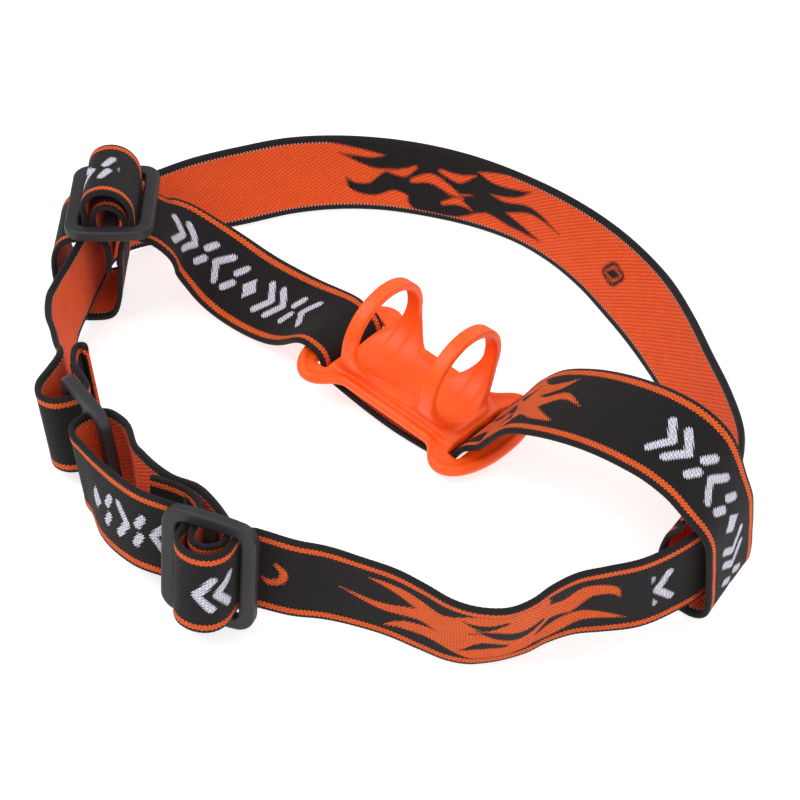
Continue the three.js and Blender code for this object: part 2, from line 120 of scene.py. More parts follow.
BAND = [
    ("end_hem", local(JOINING_SLIDER, [
        (-22.9, -10.7), (-24.1, -11.3), (-25.3, -10.4), (-25, -8.8), (-23.7, -7.8)])),
    ("fixed_end_loop", local(JOINING_SLIDER, [
        (-22.1, -6.8), (-20.3, -6), (-17, -5), (-12.5, -4.8), (-8.4, -4.2), (-6.1, -1.8), (-6.1, 2.2),
        (-7.8, 5.8), (-11.8, 7.6), (-16.5, 6), (-20.4, 1.4), (-23.8, -3.1)])),
    ("left_side", free([
        (-50.2, -74.2, 15.4, -0.08, -0.2, 0.97), (-54, -71.2, 15, -0.1, -0.26, 0.95),
        (-59.3, -68, 14.7, -0.15, -0.25, 0.95), (-65.8, -64.9, 13.9, -0.19, -0.25, 0.95),
        (-71.8, -61.3, 13.4, -0.18, -0.22, 0.96), (-77.1, -57.6, 12.9, -0.12, -0.16, 0.98),
        (-81.2, -53.6, 13.3, -0.03, -0.09, 1), (-84.6, -48.8, 14, 0, -0.05, 1),
        (-88.2, -43.4, 14.8, 0, -0.03, 1), (-91.8, -38.6, 15, 0, 0, 1), (-96.8, -32.3, 14.8, 0, 0, 1),
        (-102.9, -24.2, 14.7, 0, 0, 1), (-106.8, -15, 14, 0, 0, 1)])),
    ("back_left", free([
        (-105.9, -3.7, 12.9, -0.02, 0.03, 1), (-102.7, 10, 12.8, -0.16, 0.07, 0.98),
        (-97.9, 23.9, 12.7, -0.22, 0.1, 0.97), (-92.5, 37, 12.9, -0.18, 0.1, 0.98)])),
    ("back", free([
        (-84.8, 48.6, 12.9, -0.1, 0.08, 0.99), (-74.5, 58.6, 13, -0.05, 0.06, 1),
        (-62.2, 66.8, 13, -0.03, 0.06, 1), (-48.3, 73.2, 13, 0, 0.03, 1), (-33.4, 77.1, 13, 0.02, 0.01, 1),
        (-17.7, 78.3, 12.9, 0.04, 0.08, 0.99), (-2, 77.1, 12.7, 0.07, 0.2, 0.97)])),
    ("right", free([
        (13.9, 73.7, 12.4, 0.11, 0.33, 0.94), (29.9, 68.5, 12.2, 0.13, 0.36, 0.92),
        (45.7, 61, 12.4, 0.12, 0.31, 0.94), (61.4, 52.4, 12.9, 0.08, 0.22, 0.97),
        (78, 43.4, 13.6, 0.05, 0.1, 0.99), (91.5, 33.6, 14.6, 0.02, 0.04, 1),
        (100.6, 22.8, 15.6, 0, 0, 1), (105.6, 15.2, 15.9, 0, 0, 1), (108.4, 8, 15.9, 0, 0, 1)])),
    ("front", free([
        (110.1, -0.6, 15.7, 0.02, -0.08, 1), (109.3, -8.6, 15, 0.04, -0.13, 0.99),
        (106.4, -17.4, 13.6, 0.05, -0.11, 0.99), (101.9, -25.2, 13.3, 0.09, -0.12, 0.98),
        (97.9, -31.6, 13, 0.14, -0.13, 0.98), (96, -38.6, 12.7, 0.19, -0.14, 0.97),
        (95.4, -44.8, 12.4, 0.23, -0.15, 0.96), (93.4, -50.8, 12.2, 0.26, -0.16, 0.95),
        (89.6, -56, 12.4, 0.2, -0.14, 0.96), (83.9, -59.6, 12.5, 0.16, -0.11, 0.98),
        (76.7, -61.9, 13.1, 0.13, -0.06, 0.99), (69, -64.4, 13.7, 0.12, -0.03, 1),
        (61.7, -68.2, 14.4, 0.12, -0.02, 1), (54.3, -72.8, 15.2, 0.08, 0.02, 1),
        (48.4, -77.9, 15.9, 0.05, 0.05, 1)])),
    ("slider_hump", local(FRONT_SLIDER, [
        (12.4, -4.7), (8.9, -4.4), (6.8, -2.5), (6.5, 1.2), (6.4, 5), (4.3, 8.4), (0.3, 9.7), (-4, 8.4),
        (-6.4, 5), (-6.5, 1.2), (-6.8, -2.5), (-8.9, -4.5)])),
    ("adjuster_outer", local(FRONT_SLIDER, [(-12.6, -4.9)]) + free([
        (11.4, -96.2, 17.9, 0.02, 0.08, 1), (3.1, -97, 17.7, 0, 0.08, 1),
        (-5.1, -96.3, 17.3, -0.02, 0.06, 1)]) + local(JOINING_SLIDER, [(12.4, 7.6)])),
    ("adjuster_turn", local(JOINING_SLIDER, [
        (8.2, 7.6), (4.8, 6.1), (3.3, 2.9), (3.3, -0.5), (4.9, -3.6), (8.6, -5), (13, -5.3)])),
    ("adjuster_inner", free([
        (-3, -85.4, 17, 0, 0.02, 1), (10.6, -86.4, 17.3, 0.02, 0.05, 1)])
        + local(FRONT_SLIDER, [(-10, -13.6)])),
    ("free_end", local(FRONT_SLIDER, [
        (-5.6, -11.3), (-0.4, -7.4), (3.3, -3.6), (4.4, 0.5), (3.8, 3.8), (0.9, 5.9), (-2.4, 5),
        (-4.2, 1.8), (-4.4, -1.8), (-5.1, -5.4), (-7.3, -8.8), (-10.6, -11), (-15.5, -12), (-21.5, -12)])),
]

CROWN = [
    ("free_end", local(CROWN_SLIDER, [
        (-1.4, -16), (-0.9, -11.5), (-1.2, -7.4), (-3.6, -3), (-4.4, 1.6), (-3.4, 4.8), (-0.5, 6.2),
        (2.6, 5), (4.4, 2), (4.4, -1.5), (3.7, -5)])),
    ("left_loop", local(CROWN_SLIDER, [
        (2.6, -9), (2.1, -14), (1.6, -20), (0.8, -26), (-1.4, -31.2), (-6.6, -32.3), (-11.6, -31.5),
        (-14.5, -27.4), (-16.2, -22), (-16.8, -15.5), (-16.2, -10), (-14, -6.3)])),
    ("slider_hump", local(CROWN_SLIDER, [
        (-11, -4.9), (-8.6, -4.6), (-6.7, -2.6), (-6.5, 2), (-6.8, 6.4), (-4.9, 9.8), (-0.8, 11.2),
        (3.4, 9.8), (6.1, 6), (6.5, 1.8), (6.7, -2.4), (8.7, -4.6)])),
    ("left_run", local(CROWN_SLIDER, [(11.6, -5.7), (14.8, -8)]) + free([
        (-78.3, -12.4, 19.4, -0.46, 0.87, 0.14), (-74, -9, 14.4, -0.32, 0.9, 0.26),
        (-69.6, -6.6, 10.6, -0.14, 0.9, 0.4), (-62.9, -5.1, 8.2, -0.08, 0.86, 0.5),
        (-53.7, -4.3, 7.9, -0.09, 0.86, 0.5), (-44.2, -3.6, 8.8, -0.11, 0.9, 0.42)])),
    ("left_bend", free([
        (-39.5, -3.3, 9.8, -0.1, 0.93, 0.35), (-35, -3.1, 11.2, -0.1, 0.95, 0.26)])
        + local(HOLDER, [
            (-31.6, 4.6), (-28, 4.5), (-25.5, 3.9), (-24.1, 2.3), (-23.4, 0.5), (-22.9, -0.9),
            (-21.5, -1.8)])),
    ("under_holder", local(HOLDER, [
        (-18, -2.3), (-8, -3.4), (2, -3.8), (9, -3.4), (15, -2.75)])),
    ("right_bend", local(HOLDER, [
        (19, -2.3), (21.4, -1.9), (22.9, -0.9), (23.6, 0.6), (24.2, 2.3), (25.2, 4.5)])),
    ("right_run", free([
        (34.8, 4.7, 10.6, -0.16, 0.97, 0.16), (41.1, 4.1, 18.8, -0.15, 0.97, 0.21),
        (48.7, 3.3, 26.9, -0.11, 0.97, 0.23), (58.6, 2.5, 33.2, -0.1, 0.96, 0.28),
        (69.1, 1.9, 38.1, -0.09, 0.95, 0.31), (79.5, 1.4, 41.7, -0.06, 0.94, 0.33),
        (89, 1.1, 43.8, -0.04, 0.94, 0.35)])),
    ("fixed_end", free([
        (97.3, 1.5, 43.8, -0.04, 0.95, 0.31), (103.6, 2.6, 41, -0.08, 0.97, 0.24),
        (107.5, 4, 36, -0.16, 0.97, 0.14)])),
    ("right_loop", local(CROWN_NODE, [
        (30.6, -1.3, -3), (26, -2.8, -2.4), (20, -3.3, -1.6), (13, -3.5, -0.8), (6.5, -3.6, -0.2),
        (2.4, -2.9), (0.95, -0.6), (1, 1.6), (2.2, 5.2), (6, 8.2), (12.5, 9.8, -0.4), (19, 9.4, -1),
        (24.8, 7.6, -1.8), (29.3, 5, -2.6), (33.4, 4.2, -3.2)])),
]


def spline(points, counts):
    """Centripetal Catmull-Rom curve through points, with counts[i] samples on its i-th segment."""
    first = 2 * points[0] - points[1]
    last = 2 * points[-1] - points[-2]
    padded = np.vstack([first, points, last])
    samples = []
    for i, count in enumerate(counts):
        p0, p1, p2, p3 = padded[i:i + 4]
        d0, d1, d2 = (math.sqrt(np.linalg.norm(b - a)) for a, b in ((p0, p1), (p1, p2), (p2, p3)))
        d1 = d1 if d1 > SHORTEST_CHORD else 1.0
        d0 = d0 if d0 > SHORTEST_CHORD else d1
        d2 = d2 if d2 > SHORTEST_CHORD else d1
        m1 = ((p1 - p0) / d0 - (p2 - p0) / (d0 + d1) + (p2 - p1) / d1) * d1
        m2 = ((p2 - p1) / d1 - (p3 - p1) / (d1 + d2) + (p3 - p2) / d2) * d1
        t = np.arange(count)[:, None] / count
        square = 3 * (p2 - p1) - 2 * m1 - m2
        cube = 2 * (p1 - p2) + m1 + m2
        samples.append(p1 + m1 * t + square * t ** 2 + cube * t ** 3)
    samples.append(points[-1:])
    return np.vstack(samples)


def softened(values, width):
    """Gaussian smoothing along the first axis that keeps the ends where they are."""
    reach = int(3 * width) + 1
    kernel = np.exp(-0.5 * (np.arange(-reach, reach + 1) / width) ** 2)
    kernel /= kernel.sum()
    head = 2 * values[0] - values[reach:0:-1]
    tail = 2 * values[-1] - values[-2:-reach - 2:-1]
    padded = np.vstack([head, values, tail])
    return np.column_stack([np.convolve(padded[:, k], kernel, "valid") for k in range(values.shape[1])])


def resampled(at, lengths, values):
    """The rows of values, known at lengths, read at the places in at."""
    return np.column_stack([np.interp(at, lengths, values[:, k]) for k in range(values.shape[1])])


def unit_rows(rows):
    return rows / np.linalg.norm(rows, axis=1)[:, None]


class Route:
    """The webbing's middle line, its frame and the length at which each named run starts, all in mm."""

    def __init__(self, runs):
        stations = [station for _, rows in runs for station in rows]
        points = np.array([at for at, _ in stations]) + FOOTPRINT_SHIFT
        leans = np.array([across for _, across in stations])
        counts = [max(2, math.ceil(np.linalg.norm(b - a) / ROUTE_SAMPLE))
                  for a, b in zip(points, points[1:])]
        centres = spline(points, counts)
        acrosses = spline(leans, counts)
        lengths = np.concatenate([[0], np.cumsum(np.linalg.norm(np.diff(centres, axis=0), axis=1))])
        self.length = lengths[-1]
        self.starts = self.named_starts(runs, lengths[np.concatenate([[0], np.cumsum(counts)])])
        self.at = np.linspace(0, self.length, math.ceil(self.length / WEB_STEP) + 1)
        self.centres = softened(resampled(self.at, lengths, centres), CENTRE_SOFTENING)
        self.along = unit_rows(np.gradient(self.centres, axis=0))
        acrosses = softened(resampled(self.at, lengths, acrosses), LEAN_SOFTENING)
        acrosses -= (acrosses * self.along).sum(1)[:, None] * self.along
        self.across = unit_rows(acrosses)
        self.out = np.cross(self.along, self.across)

    def named_starts(self, runs, knots):
        starts = {}
        index = 0
        for name, rows in runs:
            starts[name] = knots[index]
            index += len(rows)
        return starts

    def index(self, length):
        return int(round(length / self.length * (len(self.at) - 1)))


band_route = Route(BAND)
crown_route = Route(CROWN)


# ---------------------------------------------------------------- woven pattern, as distance fields in mm

FAR_OUTSIDE = -50.0
STROKE_SAMPLES = 8  # pieces of each stretch of a curved stroke
SHORTEST_SQUARE = 1e-9

def capsule_field(x, y, points, radii):
    """Largest signed depth inside a stroke whose radius changes from point to point."""
    points = np.array(points, float)
    best = np.full(x.shape, FAR_OUTSIDE)
    fine = spline(points, [STROKE_SAMPLES] * (len(points) - 1))
    width = np.interp(np.linspace(0, len(points) - 1, len(fine)), np.arange(len(points)), radii)
    for a, b, ra, rb in zip(fine[:-1], fine[1:], width[:-1], width[1:]):
        d = b - a
        t = np.clip(((x - a[0]) * d[0] + (y - a[1]) * d[1]) / max(d.dot(d), SHORTEST_SQUARE), 0, 1)
        distance = np.hypot(x - a[0] - t * d[0], y - a[1] - t * d[1])
        best = np.maximum(best, ra + (rb - ra) * t - distance)
    return best


# Tongues that stream along the webbing from their root at 0: points (along, across) and half widths
TONGUES = [
    ([(-6, -7), (6, -6.4), (16, -3.2), (26, -5.6), (38, -7.4)], (3.4, 3.8, 2.6, 1.8, 0.1)),
    ([(-4, 5), (8, 6.8), (18, 3.8), (27, 5.2), (33, 8.2)], (3.8, 3.0, 2.2, 1.4, 0.1)),
    ([(0, -1), (11, 1.4), (22, -1.2), (33, 1.6), (45, -1.0)], (3.6, 2.4, 1.9, 1.2, 0.1)),
    ([(12, 1.2), (17, -1.8), (15, -5.2), (11, -6.2)], (1.8, 1.6, 1.2, 0.1)),
    ([(-5, -3), (-14, -1.2), (-21, -5.0), (-27, -4.0), (-29, -1.0)], (4.2, 3.6, 2.2, 1.3, 0.1)),
    ([(-4, 3), (-12, 5.6), (-20, 4.2), (-31, 7.0)], (4.4, 3.0, 1.9, 0.1)),
]
TONGUE_HOLES = [
    ([(-8, -0.4), (-2, 1.4), (4, -1.0), (9, -3.4)], (0.8, 1.7, 1.4, 0.1)),
    ([(1, 4.8), (7, 3.6), (13, 6.4)], (0.6, 1.5, 0.1)),
    ([(-17, 1.8), (-11, 1.8), (-7, 4.4)], (0.1, 1.4, 0.5)),
    ([(2, -6.4), (7, -4.6), (12, -6.4)], (0.6, 1.2, 0.1)),
]
HOOK = ([(-1.2, 3.4), (-3.2, 1.4), (-2.6, -1.2), (0.6, -2.6), (2.4, -1.6)], (0.6, 1.0, 1.0, 0.9, 0.2))
EYE = [(-3.4, -1.2), (0, 0), (3.4, 1.2)]
EYE_OUTSIDE = (1.6, 3.6, 1.6)
EYE_INSIDE = (0.4, 2.3, 0.4)
EYE_CENTRE = (0.1, 1.5, 0.1)
BACK_EDGE = ([(-34, 11.2), (-16, 10.2), (6, 9.8), (24, 11.2)], (0.6, 3.2, 3.4, 0.6))


def eye_field(x, y):
    """A small oval: a dark outline with a dark centre."""
    outline = np.minimum(capsule_field(x, y, EYE, EYE_OUTSIDE), -capsule_field(x, y, EYE, EYE_INSIDE))
    return np.maximum(outline, capsule_field(x, y, EYE, EYE_CENTRE))


def flame_field(x, y):
    """All the tongues, less the ground that shows between them."""
    field = np.full(x.shape, FAR_OUTSIDE)
    for points, radii in TONGUES:
        field = np.maximum(field, capsule_field(x, y, points, radii))
    for points, radii in TONGUE_HOLES:
        field = np.minimum(field, -capsule_field(x, y, points, radii))
    return field


# One repeat of the light marks: chevrons, staggered dashes and a lozenge, as strokes (along, across)
MARK_STROKES = [
    [(-1.8, 4.6), (1.8, 0), (-1.8, -4.6)],
    [(3.0, 4.6), (6.6, 0), (3.0, -4.6)],
    [(9.6, -4.4), (11.2, -1.5)],
    [(10.2, 1.5), (11.8, 4.4)],
    [(17.8, 4.6), (14.6, 0), (17.8, -4.6)],
    [(21.2, -4.4), (22.8, -1.5)],
    [(21.8, 1.5), (23.4, 4.4)],
]
MARK_HALF_WIDTH = 1.05
MARK_REPEAT = 36.0
MARK_LEAD = 4.0  # a row of marks starts this far before its first chevron
LOZENGE = (28.4, 2.6, 3.6)  # place along, half length along and half length across


# Rows of marks: (run, distance from the start of that run, length of the row)
BAND_MARKS = [("adjuster_outer", -2, 30), ("slider_hump", 15, 8), ("front", 12, 3)]
CROWN_MARKS = [("left_run", 8, 56), ("slider_hump", 12, 14), ("right_run", 71, 56)]

# Places of the orange and black figures, as a distance from the start of the run in their name
FRONT_FLAME = 52
BACK_FLAME = 33
HUMP_HOOK = -2
RIGHT_EYE = -4
RIGHT_BEND_FLAME = 24
CROWN_FLAME_SCALE = 0.75  # the crown strap's tongues are shorter


def stroke_field(x, y, points, half_width):
    """Largest signed depth inside a stroke of straight stretches."""
    best = np.full(x.shape, FAR_OUTSIDE)
    for (ax, ay), (bx, by) in zip(points[:-1], points[1:]):
        dx, dy = bx - ax, by - ay
        t = np.clip(((x - ax) * dx + (y - ay) * dy) / (dx * dx + dy * dy), 0, 1)
        best = np.maximum(best, half_width - np.hypot(x - ax - t * dx, y - ay - t * dy))
    return best


def mark_field(x, y, last):
    """The row of marks, shown as far as x = last."""
    phase = (x + MARK_LEAD) % MARK_REPEAT - MARK_LEAD
    field = np.full(x.shape, FAR_OUTSIDE)
    for points in MARK_STROKES:
        field = np.maximum(field, stroke_field(phase, y, points, MARK_HALF_WIDTH))
    place, half_along, half_across = LOZENGE
    lozenge = 1 - np.abs(phase - place) / half_along - np.abs(y) / half_across
    field = np.maximum(field, lozenge * half_along)
    return np.minimum(field, np.minimum(x + MARK_LEAD, last - x))


def rows_of_marks(rows, starts, length, across):
    return np.maximum.reduce([mark_field(length - (starts[run] + place), across, last)
                              for run, place, last in rows])


def band_pattern(length, across):
    """(marks, tongues) on the main band, whose outer face is on the far side of the route."""
    starts = band_route.starts
    tongues = np.maximum.reduce([
        flame_field(length - (starts["front"] + FRONT_FLAME), -across),
        flame_field(length - (starts["back"] + BACK_FLAME), across),
        capsule_field(length - (starts["slider_hump"] + HUMP_HOOK), across, *HOOK),
        eye_field(length - (starts["right"] + RIGHT_EYE), across),
        capsule_field(length - (starts["back"] + BACK_FLAME), across, *BACK_EDGE),
    ])
    return rows_of_marks(BAND_MARKS, starts, length, -across), tongues


def crown_pattern(length, across):
    """(marks, tongues) on the crown strap, whose outer face is on the near side of the route."""
    starts = crown_route.starts
    place = starts["right_bend"] + RIGHT_BEND_FLAME
    tongues = flame_field((length - place) / CROWN_FLAME_SCALE, across)
    return rows_of_marks(CROWN_MARKS, starts, length, across), tongues


# ---------------------------------------------------------------- meshes

def mesh_object(name, vertices, faces, smooth=True):
    data = bpy.data.meshes.new(name)
    data.from_pydata(np.asarray(vertices).tolist(), [], faces)
    data.validate()
    data.polygons.foreach_set("use_smooth", [smooth] * len(data.polygons))
    data.update()
    made = bpy.data.objects.new(name, data)
    bpy.context.scene.collection.objects.link(made)
    return made


def webbing_profile():
    """Points (across, out, side) round the section; side is 1 on the outer face and -1 on the inner."""
    half = WEB_THICK / 2
    flat = WEB_WIDTH / 2 - half
    columns = np.linspace(-flat, flat, WEB_COLUMNS + 1)
    body = half - BODY_DIP * np.clip((flat - DIP_MARGIN - np.abs(columns)) / DIP_FADE, 0, 1)
    top = [(u, n, 1.0) for u, n in zip(columns, body)]
    angles = np.linspace(math.pi / 2, -math.pi / 2, SELVEDGE_ROWS + 2)[1:-1]
    right = [(flat + half * math.cos(a), half * math.sin(a), math.sin(a)) for a in angles]
    bottom = [(u, -n, -1.0) for u, n in zip(columns[::-1], body[::-1])]
    left = [(-u, n, s) for u, n, s in right[::-1]]
    return np.array(top + right + bottom + left)


def webbing_vertices(route, span, profile):
    """The profile at each section, swelling a little at each weft loop of the selvedges."""
    selvedge = np.clip((np.abs(profile[:, 0]) - (WEB_WIDTH / 2 - SELVEDGE_WIDTH)) / SELVEDGE_WIDTH, 0, 1)
    ripple = RIPPLE * np.sin(2 * math.pi * route.at[span] / SELVEDGE_RIB)[:, None] * selvedge[None, :]
    across = profile[None, :, 0] * (1 + ripple / (WEB_WIDTH / 2))
    out = profile[None, :, 1] * (1 + ripple)
    return (route.centres[span][:, None, :] + across[..., None] * route.across[span][:, None, :]
            + out[..., None] * route.out[span][:, None, :])


def tube_faces(count, sections):
    """Faces of a closed tube of sections with count points each, with both its ends."""
    ring = np.arange(count)
    quads = []
    for k in range(sections - 1):
        a = k * count + ring
        b = k * count + np.roll(ring, -1)
        quads.append(np.column_stack([a, b, b + count, a + count]))
    faces = np.vstack(quads).tolist()
    faces.append(list(range(count))[::-1])
    faces.append(list(range((sections - 1) * count, sections * count)))
    return faces


def webbing_piece(name, route, first, last, pattern, printed):
    """Webbing from section first to section last; printed is 1 or -1, the side of the route with marks."""
    profile = webbing_profile()
    span = slice(first, last + 1)
    count, sections = len(profile), last + 1 - first
    vertices = webbing_vertices(route, span, profile)
    made = mesh_object(name, vertices.reshape(-1, 3) * MM, tube_faces(count, sections))
    made.data.flip_normals()
    length = np.repeat(route.at[span][:, None], count, axis=1)
    across = np.repeat(profile[None, :, 0], sections, axis=0)
    side = np.repeat(profile[None, :, 2], sections, axis=0) * printed
    marks, tongues = pattern(length, across)
    fields = {"along": length, "across": across, "side": side, "marks": marks, "tongues": tongues}
    for key, values in fields.items():
        attribute = made.data.attributes.new(key, "FLOAT", "POINT")
        attribute.data.foreach_set("value", values.reshape(-1).astype(np.float32))
    return made


# ---------------------------------------------------------------- solids from distance fields

def smooth_min(a, b, k):
    """The union of two fields, with a fillet of about k where they meet."""
    h = np.clip(0.5 + 0.5 * (b - a) / k, 0, 1)
    return b + (a - b) * h - k * h * (1 - h)


def smooth_max(a, b, k):
    """The common part of two fields, with its new edge rounded by about k."""
    return -smooth_min(-a, -b, k)


def rounded_rectangle(x, y, half_x, half_y, radius):
    """Signed distance, negative inside."""
    qx = np.abs(x) - half_x + radius
    qy = np.abs(y) - half_y + radius
    return np.hypot(np.maximum(qx, 0), np.maximum(qy, 0)) + np.minimum(np.maximum(qx, qy), 0) - radius


def extruded(outline, z, low, high, radius):
    """A flat solid between low and high with its edges rounded."""
    qx = outline + radius
    qy = np.abs(z - (low + high) / 2) - (high - low) / 2 + radius
    return np.hypot(np.maximum(qx, 0), np.maximum(qy, 0)) + np.minimum(np.maximum(qx, qy), 0) - radius


def solid_from_field(name, field, low, high, voxel, place, tilt=0.0):
    """Meshes the zero surface of field(x, y, z), in mm in a local frame, and places it."""
    axes = [np.arange(a, b + voxel, voxel) for a, b in zip(low, high)]
    x, y, z = np.meshgrid(*axes, indexing="ij")
    grid = openvdb.FloatGrid(voxel)
    grid.copyFromArray(np.ascontiguousarray(field(x, y, z), dtype=np.float32))
    points, triangles, quads = grid.convertToPolygons(0.0, 0.0)
    points = points * voxel + np.array(low)
    angle = math.radians(tilt)
    turned = points.copy()
    turned[:, 1] = points[:, 1] * math.cos(angle) - points[:, 2] * math.sin(angle)
    turned[:, 2] = points[:, 1] * math.sin(angle) + points[:, 2] * math.cos(angle)
    basis = np.vstack([place.along, place.across, place.out])
    world = (turned @ basis + place.centre + FOOTPRINT_SHIFT) * MM
    return mesh_object(name, world, quads.tolist() + triangles.tolist())


# ---------------------------------------------------------------- sliders

SLIDER_HALF_ALONG = 12.5
SLIDER_HALF_ACROSS = 15.9
SLIDER_HALF_THICK = 1.6
SLIDER_CORNER = 4.6
SLIDER_EDGE = 0.75
END_BAR_BOW = 0.9  # each end bar bows out by this in its middle
WINDOW_HALF_ALONG = 8.4
WINDOW_HALF_ACROSS = 12.9
WINDOW_CORNER = 1.6
BAR_HALF_ALONG = 1.8
BAR_HALF_ACROSS = 14.4
BAR_TOP = 0.8
BAR_CORNER = 0.4
BAR_EDGE = 0.6
BAR_FILLET = 0.5
SLIDER_REACH = (13.5, 17.5, 2.5)  # half the box that the slider is meshed in
SLIDER_VOXEL = 0.3


def slider_field(x, y, z):
    """A frame with a middle bar; x runs along the strap, y along the bars and z out."""
    bow = END_BAR_BOW * (1 - np.clip(np.abs(x) / SLIDER_HALF_ALONG, 0, 1) ** 2)
    outline = rounded_rectangle(x, y, SLIDER_HALF_ALONG, SLIDER_HALF_ACROSS + bow, SLIDER_CORNER)
    window = rounded_rectangle(x, y, WINDOW_HALF_ALONG, WINDOW_HALF_ACROSS, WINDOW_CORNER)
    ring = extruded(np.maximum(outline, -window), z, -SLIDER_HALF_THICK, SLIDER_HALF_THICK, SLIDER_EDGE)
    middle = rounded_rectangle(x, y, BAR_HALF_ALONG, BAR_HALF_ACROSS, BAR_CORNER)
    bar = extruded(middle, z, -SLIDER_HALF_THICK, BAR_TOP, BAR_EDGE)
    return smooth_min(ring, bar, BAR_FILLET)


def slider(name, node, place, tilt=0.0):
    low = tuple(-reach for reach in SLIDER_REACH)
    made = solid_from_field(name, slider_field, low, SLIDER_REACH, SLIDER_VOXEL, place, tilt)
    made.data.materials.append(slider_material)
    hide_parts(node)
    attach(made, node)


# ---------------------------------------------------------------- torch holder

PLATE_THICK = 2.6
PLATE_EDGE = 1.0
BEAD_RISE = 0.3  # the bead stands this much above the plate's face
BEAD_RADIUS = 1.25
BEAD_HEIGHT = 1.75
BEAD_BLEND = 0.7
WAIST_HALF = 13.3
TAB_HALF = 19.5
TAB_REACH = 33.0
TORCH_HEIGHT = 15.8
TORCH_RISE = 0.06  # the soft rings lean, so the torch axis rises towards the right tab
RING_MIDDLE = 13.4
RING_HALF_THICK = 1.2
RING_HALF_WIDTH = 2.2
RING_OFFSET = 13.9
RING_EDGE = 0.65
RING_BLEND = 0.9
TROUGH_RADIUS = 12.5
TROUGH_REACH = 20.5
TROUGH_BLEND = 1.2
TROUGH_EDGE = 0.5
RIM_HEIGHT = 5.4  # top of the trough's walls half way between the rings
RIM_SWEEP = 9.5  # how far the walls sweep up to a ring on its inner side
RIM_SWEEP_LENGTH = 8.0
END_RIM_DROP = 1.4  # the walls outside the rings are lower by this
END_RIM_SWEEP = 10.0
END_RIM_LENGTH = 5.0
RIM_CURVE = 2.2
RIM_OVERLAP = 0.6  # the sweep starts this far inside the ring's face
RIM_EDGE = 0.8
PLATFORM_HALF = 10.4
PLATFORM_REACH = 21.9
PLATFORM_HEIGHT = 4.5
PLATFORM_DROP = 1.9  # the platform slopes down by this towards the slots
PLATFORM_DROP_FROM = 17.5
PLATFORM_DROP_LENGTH = 4.5
PLATFORM_DRAFT = 0.18
PLATFORM_EDGE = 0.9
PLATFORM_END_EDGE = 0.6
PLATFORM_BLEND = 1.0
SLOT_MIDDLE = 23.95
SLOT_HALF_ALONG = 1.85
SLOT_HALF_ACROSS = 12.8
SLOT_CORNER = 0.8
SLOT_EDGE = 0.7
UNDERSIDE = 0.3  # the platform and the trough start this far above the plate's underside
UNDERSIDE_EDGE = 0.5
HOLDER_LOW = (-35, -21.5, -1)
HOLDER_HIGH = (35, 21.5, 32)
HOLDER_VOXEL = 0.42

FARTHEST = 1e9
FLATTEST = 1e-12


def bezier(a, b, c, d, count):
    """count points of a cubic curve, without its last one."""
    t = np.linspace(0, 1, count, endpoint=False)[:, None]
    a, b, c, d = (np.array(p, float) for p in (a, b, c, d))
    return (1 - t) ** 3 * a + 3 * (1 - t) ** 2 * t * b + 3 * (1 - t) * t * t * c + t ** 3 * d


def holder_outline():
    """The plate seen from above: a narrow waist and a rounded tab at each end."""
    quarter = np.vstack([
        [(0, -WAIST_HALF)],
        bezier((14, -WAIST_HALF), (18, -WAIST_HALF), (18.5, -TAB_HALF), (24, -TAB_HALF), 14),
        bezier((24, -TAB_HALF), (28, -TAB_HALF), (TAB_REACH, -14), (TAB_REACH, 0), 16),
        [(TAB_REACH, 0)]])
    half = np.vstack([quarter, (quarter * (1, -1))[::-1]])
    return np.vstack([half, (half * (-1, 1))[::-1]])


def polygon_field(x, y, corners):
    """Signed distance to a closed outline, negative inside."""
    best = np.full(x.shape, FARTHEST)
    inside = np.zeros(x.shape, bool)
    for (ax, ay), (bx, by) in zip(corners, np.roll(corners, -1, axis=0)):
        dx, dy = bx - ax, by - ay
        span = dx * dx + dy * dy
        if span < FLATTEST:
            continue
        t = np.clip(((x - ax) * dx + (y - ay) * dy) / span, 0, 1)
        best = np.minimum(best, np.hypot(x - ax - t * dx, y - ay - t * dy))
        crosses = (ay > y) != (by > y)
        inside ^= crosses & (x < ax + (y - ay) * dx / (dy if abs(dy) > FLATTEST else FLATTEST))
    return np.where(inside, -best, best)


def rim_height(u):
    """Height of the trough's walls: low between the rings, swept up to them, and down to the slots."""
    away = np.maximum(np.abs(np.abs(u) - RING_OFFSET) - RING_HALF_WIDTH + RIM_OVERLAP, 0)
    inner = RIM_HEIGHT + RIM_SWEEP * np.clip(1 - away / RIM_SWEEP_LENGTH, 0, 1) ** RIM_CURVE
    end_sweep = np.clip(1 - away / END_RIM_LENGTH, 0, 1) ** RIM_CURVE
    outer = RIM_HEIGHT - END_RIM_DROP + END_RIM_SWEEP * end_sweep
    return np.where(np.abs(u) < RING_OFFSET, inner, outer)


def plate_field(outline, n):
    """The saddle plate with a rounded bead along its edge."""
    plate = extruded(outline, n, 0.0, PLATE_THICK - BEAD_RISE, PLATE_EDGE)
    bead = np.hypot(outline + BEAD_RADIUS, n - BEAD_HEIGHT) - BEAD_RADIUS
    return smooth_min(plate, bead, BEAD_BLEND)


def platform_field(u, w, n):
    """The raised middle that slopes down towards each slot."""
    ramp = np.clip((np.abs(u) - PLATFORM_DROP_FROM) / PLATFORM_DROP_LENGTH, 0, 1)
    top = PLATFORM_HEIGHT - PLATFORM_DROP * ramp
    sides = np.abs(w) - PLATFORM_HALF - PLATFORM_DRAFT * np.maximum(PLATFORM_HEIGHT - n, 0)
    platform = smooth_max(sides, n - top, PLATFORM_EDGE)
    platform = smooth_max(platform, np.abs(u) - PLATFORM_REACH, PLATFORM_END_EDGE)
    return np.maximum(platform, -n + UNDERSIDE)


